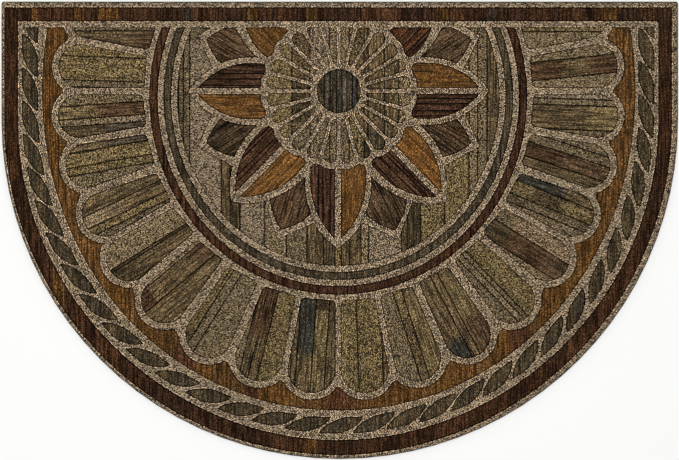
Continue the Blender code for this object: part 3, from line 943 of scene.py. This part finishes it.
def printedFibre():
    # planks printed on the pads: their tones, the streaks and cracks of their grain and the dark lines
    # between them, all broken up by the fibre's tufts, with painted shade on each pad's rounded edge and a
    # painted highlight on the tan round its foot
    shade = Shade("printedFibre")
    place, tuftShadeAndTone, height = tufts(shade)
    low, high, seed = shade.parts(shade.attribute("plank", "Vector"))
    firstPlace, secondPlace, softness = shade.parts(shade.attribute("joint", "Vector"))
    across, along, unused = shade.parts(shade.node("ShaderNodeUVMap", {"uv_map": "grain"}, {}))
    wander = shade.noise(shade.vector(across, along, seed), 1 / printing["wander"], 3.0, 0.6) - 0.5
    drift = along + wander * softness * printing["wanderReach"]
    tone = shade.attribute("toneA", "Color")
    for name, start in (("toneB", firstPlace), ("toneC", secondPlace)):
        turn = shade.smooth(drift, start - softness * 0.5, start + softness * 0.5)
        tone = shade.mix(turn, tone, shade.attribute(name, "Color"))

    def fibres(kind, shift, detail):
        # noise drawn out along the grain
        ways = shade.vector(across / printing[kind], along / printing[kind + "Run"], seed * shift)
        return shade.noise(ways, 1.0, detail)

    depth = shade.attribute("depth", "Fac")
    streak = shade.smooth(fibres("streak", 40, 1.0), *printing["streakSplit"]) * 2 - 1
    crack = shade.smooth(fibres("crack", 90, 1.0), *printing["crackSplit"]) * printing["crackDepth"]
    patch = (fibres("patch", 20, 2.0) - 0.5) * printing["patchDepth"]
    grain = (1 + streak * depth) * (1 - crack * depth) * (1 + patch * depth)
    gap = shade.lower(across - low, high - across)
    gap = shade.smooth(gap, printing["gap"] * 0.4, printing["gap"] * 1.6)
    gap = 1 - (1 - gap) * printing["gapDepth"]
    rise = shade.parts(place)[2] - groundHeight
    # painted shade on the pad's rounded shoulder, darkest towards its foot
    rim = shade.smooth(rise, printing["rimShadeLow"], printing["rimShadeHigh"])
    rim = 1 - (1 - rim) * shade.attribute("line", "Fac") * printing["rimShadeDepth"]
    speck = 1 + (tuftShadeAndTone - 1) * shade.attribute("speck", "Fac")
    wood = shade.scaled(tone, speck * grain * gap * rim * printing["ink"])
    # the tan round the pad's foot, brightened as a painted highlight
    tan = shade.scaled(rgba(fibre["groundLight"])[:3], tuftShadeAndTone * printing["footHighlight"])
    colour = shade.mix(shade.smooth(rise, printing["wallLow"], printing["wallHigh"]), tan, wood)
    return finished(shade, colour, fibre["roughness"], height, fibre["bump"], fibre["bumpHeight"])


rubber = {
    "base": "212123",
    "crumb": "454547",
    "crumbSize": 0.0016,
    "paleCrumbs": (0.86, 0.95),  # where they begin and are fully pale, by chance from 0 to 1
    "cloth": 0.0011,  # pitch of the cloth mark
    "roughPatch": 0.01,
    "bump": 0.35,
    "bumpHeight": 0.0003,
}


def recycledRubber():
    # near-black sheet of pressed crumb, with a few paler crumbs and a faint cloth mark all over
    shade = Shade("recycledRubber")
    place = shade.place()
    crumb = shade.parts(shade.cells(place, 1 / rubber["crumbSize"], "Color"))[0]
    pale = shade.smooth(crumb, *rubber["paleCrumbs"])
    colour = shade.mix(pale * 0.6, rgba(rubber["base"]), rgba(rubber["crumb"]))
    x, y, z = shade.parts(place)
    warp = shade.node("ShaderNodeMath", {"operation": "SINE"}, [x * (2 * math.pi / rubber["cloth"])])
    weft = shade.node("ShaderNodeMath", {"operation": "SINE"}, [y * (2 * math.pi / rubber["cloth"])])
    height = warp * weft * 0.25 + crumb * 0.5
    rough = 0.7 + shade.noise(place, 1 / rubber["roughPatch"]) * 0.25
    return finished(shade, colour, rough, height, rubber["bump"], rubber["bumpHeight"])


# Pieces

tanMaterial = tanFibre()
woodMaterial = printedFibre()
rubberMaterial = recycledRubber()
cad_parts["rubber_backing"].data.materials.clear()
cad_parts["rubber_backing"].data.materials.append(rubberMaterial)
print("materials made")


def matOutline(gap):
    # an arc below, straight sides, and small round corners above, all moved in by the gap
    radius, top, corner = mat["halfWidth"] - gap, mat["halfDepth"] - gap, mat["corner"]
    bulge = corner * (1 - math.sqrt(0.5))
    low = halfRound((0, mat["halfWidth"] - mat["halfDepth"]), (radius, radius, 2), 180, 360, 180)
    right = arc((radius, top - corner), (radius - corner, top), bulge, 5)
    left = arc((corner - radius, top), (-radius, top - corner), bulge, 5)
    return np.concatenate([low, right, left])


# inset and height of the mat's side, from the rubber up over the rounded edge to the flat ground
groundProfile = [(0, rubberHigh.z), (0, groundHeight - 0.0012), (0.0003, groundHeight - 0.0007),
                 (0.0009, groundHeight - groundFall), (0.0066, groundHeight)]
points, faces = closedPad(matOutline(mat["rim"]), groundProfile)
plain = planks(90, (0, 0), [], ["tan"])
ground = madePiece("fibreGround", [sawn(points, faces, plain)], tanMaterial)
print("ground laid")

pads = {}
barStart = 250  # mm above the middle, where the border's round part gives way to its straight bar
borderWood = planks(90, (0, 0), [end for end, bowl, bar in borderPlanks[:-1]],
                    [((bowl, bar), (barStart,), 4) for end, bowl, bar in borderPlanks], False)
pads["borderBand"] = [sawn(*closedBand(*borderLines(), shoulder), borderWood)]
ropeWood = mixedPlanks(5, 90, (0, 0), (7, 15), ["ropeGreen"] * 3 + ["darkRope"] * 2 + ["paleRope"] * 2)
archWood = planks(
    90, (0, 0),
    [-352, -304, -288, -272, -256, -240, -208, -184, -160, -122, -104, -80, -56, -18, 22, 46, 56, 72,
     104, 130, 160, 192, 200, 216, 242, 256, 280, 296, 336],
    ["ochre", "paleOchre", "goldOchre", "ochre", "paleOchre", "ochre", "burntOchre", "archPlum", "ochre",
     "burntOchre", "archPlum", "ochre", "goldOchre", "burntOchre", "archPlum", "ochre", "goldOchre",
     "burntOchre", "ochre", "paleOchre", "ochre", "paleOchre", "burntOchre", "ochre", "archPlum",
     "burntOchre", "ochre", "goldOchre", "ochre", "paleOchre"], False)
redWood = mixedPlanks(11, 90, (0, 0), (10, 34), ["redBrown"] * 5 + ["darkRedBrown"] + ["rustMahogany"])
greenWood = mixedPlanks(14, 90, (0, 0), (10, 28), ["greenGrey"] * 5 + ["darkGreen"] + ["paleGreen"])


def pad(outline, wood):
    return sawn(*closedPad(tidied(leftTurning(outline)), shoulder), wood)


pads["ropeStrands"] = [pad(strand, ropeWood) for strand in ropeStrands()]
pads["scallopedArch"] = [pad(scallopedArch(), archWood)]
pads["fanPetals"] = []
for angle, (grain, edges, names) in zip(fan["angles"], fanPlanks):
    middle = turned(fan["centre"], angle, [(fan["plankMiddle"], 0)])[0]
    pads["fanPetals"].append(pad(fanPetal(angle), planks(grain, middle, edges, names)))
pads["redRing"] = [pad(ringPad(rings["red"]), redWood)]
pads["greenRing"] = [pad(ringPad(rings["green"]), greenWood)]
pads["starField"] = [pad(starField(), fieldPlanks)]
pads["starPetals"] = [pad(starHalf(angle, kind, side, rosette["rib"] / 2), starPlanks(angle, side))
                      for angle, kind in rosette["petals"] for side in (-1, 1)]
pads["starPetals"] += [pad(starHalf(angle, "diagonal", side, rosette["cutRib"]), starPlanks(angle, side))
                       for angle, side in ((135, 1), (45, -1))]
# the grain's angle and the tones of each kite, by its own angle
kiteWood = {157.5: (150, ["paleKite"]), 202.5: (212, ["darkKite"]), 247.5: (252, ["kiteBrown", "umber"]),
            292.5: (296, ["kiteBrown", "darkKite"]), 337.5: (328, ["kiteBrown", "umber", "darkKite"]),
            382.5: (392, ["paleKite", "kiteBrown"])}
pads["kites"] = []
for angle, kind in kites["places"]:
    grain, names = kiteWood[angle]
    pads["kites"].append(pad(kitePad(angle, kind), mixedPlanks(int(angle), grain, (0, 0), (6, 16), names)))
pads["daisyPetals"] = [pad(daisyPetal(360 / rosette["daisyCount"] * (i + 0.5)), daisyPlanks)
                       for i in range(rosette["daisyCount"])]
pads["centreDisc"] = [pad(centreDisc(), discPlanks)]

pieces = [madePiece(name, parts, woodMaterial) for name, parts in pads.items()]
print("pads laid:", sum(len(parts) for parts in pads.values()))

for piece in [ground, *pieces]:
    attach(piece, "root")
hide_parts("fibre_face")


# Floor, light and camera

studio = {
    "floor": "fdfdfc",
    "floorSize": 8,
    "world": 0.42,  # strength of the light from all round, and the power of the one above
    "key": 80.0,
    "keySize": 1.0,
    "keyPlace": (-0.25, 0.35, 3.6),
}


def paleFloor():
    shade = Shade("paleFloor")
    shade.feed(shade.surface, {"Base Color": rgba(studio["floor"]), "Roughness": 0.9,
                               "Specular IOR Level": 0.1})
    return shade.material


bpy.ops.mesh.primitive_plane_add(size=studio["floorSize"])
floor = bpy.context.object
floor.name = "floor"
floor.data.materials.append(paleFloor())

world = bpy.data.worlds.new("paleRoom")
bpy.context.scene.world = world
world.use_nodes = True
world.node_tree.nodes["Background"].inputs["Color"].default_value = (1, 1, 1, 1)
world.node_tree.nodes["Background"].inputs["Strength"].default_value = studio["world"]

keyLight = bpy.data.lights.new("softKey", "AREA")
keyLight.energy = studio["key"]
keyLight.size = studio["keySize"]
key = bpy.data.objects.new("softKey", keyLight)
key.location = studio["keyPlace"]
key.rotation_euler = (-key.location).to_track_quat("-Z", "Y").to_euler()
bpy.context.scene.collection.objects.link(key)

view = {"height": 5.0, "seenWidth": 0.8665, "middle": (-0.0003, 0.0003), "sensor": 36.0}
lens = bpy.data.cameras.new("camera")
lens.sensor_width = view["sensor"]
lens.lens = view["sensor"] * (view["height"] - faceHigh.z) / view["seenWidth"]
camera = bpy.data.objects.new("camera", lens)
camera.location = (view["middle"][0], view["middle"][1], view["height"])
bpy.context.scene.collection.objects.link(camera)
bpy.context.scene.camera = camera
bpy.context.scene.view_settings.view_transform = "Standard"
print("floor, light and camera set")
